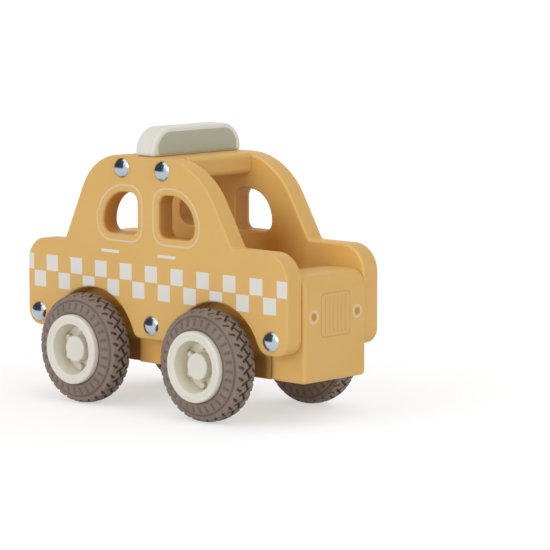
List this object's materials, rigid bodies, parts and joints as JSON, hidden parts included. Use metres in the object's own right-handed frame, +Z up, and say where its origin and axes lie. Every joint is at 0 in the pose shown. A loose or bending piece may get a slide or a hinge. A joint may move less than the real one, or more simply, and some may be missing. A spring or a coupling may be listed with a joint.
{
  "type": "toy taxi",
  "caption": "Wooden toy taxi with thick painted side panels screwed to a block chassis, open cab, roof sign bar, and dished hubs with lugged rubber tyres that turn on steel axles.",
  "frame": {"origin": "on the floor under the middle of the car", "axes": "+X towards the front of the car, +Y towards its left side, +Z up"},
  "size_m": [0.1652, 0.0866, 0.126],
  "materials": {
    "ochre_wood": "satin ochre paint with printed checks",
    "cream_wood": "satin cream paint with a plain green panel",
    "beech": "plain planed wood",
    "chrome": "polished",
    "steel": "drawn rod",
    "hub_plastic": "moulded, soft gloss",
    "tyre_rubber": "matte moulded rubber"
  },
  "bodies": {
    "car_body": {"side_panel_right": "ochre_wood", "side_panel_left": "ochre_wood", "front_block": "ochre_wood", "rear_block": "ochre_wood", "chassis_block": "ochre_wood", "floor_board": "ochre_wood", "roof_board": "ochre_wood", "roof_sign": "cream_wood", "sign_dowels": "beech", "front_dowels": "beech", "rear_dowels": "beech", "roof_screws_right": "chrome", "roof_screws_left": "chrome", "sill_screws_right": "chrome", "sill_screws_left": "chrome"},
    "front_wheelset": {"front_axle": "steel", "hub_front_right": "hub_plastic", "hub_cap_front_right": "hub_plastic", "tyre_front_right": "tyre_rubber", "hub_front_left": "hub_plastic", "hub_cap_front_left": "hub_plastic", "tyre_front_left": "tyre_rubber"},
    "rear_wheelset": {"rear_axle": "steel", "hub_rear_right": "hub_plastic", "hub_cap_rear_right": "hub_plastic", "tyre_rear_right": "tyre_rubber", "hub_rear_left": "hub_plastic", "hub_cap_rear_left": "hub_plastic", "tyre_rear_left": "tyre_rubber"}
  },
  "joints": [
    {"name": "front_axle_spin", "type": "hinge", "parent": "car_body", "child": "front_wheelset", "pos_m": [0.03749, 0, 0.025], "axis": [0, 1, 0], "continuous": true},
    {"name": "rear_axle_spin", "type": "hinge", "parent": "car_body", "child": "rear_wheelset", "pos_m": [-0.03949, 0, 0.025], "axis": [0, 1, 0], "continuous": true}
  ]
}
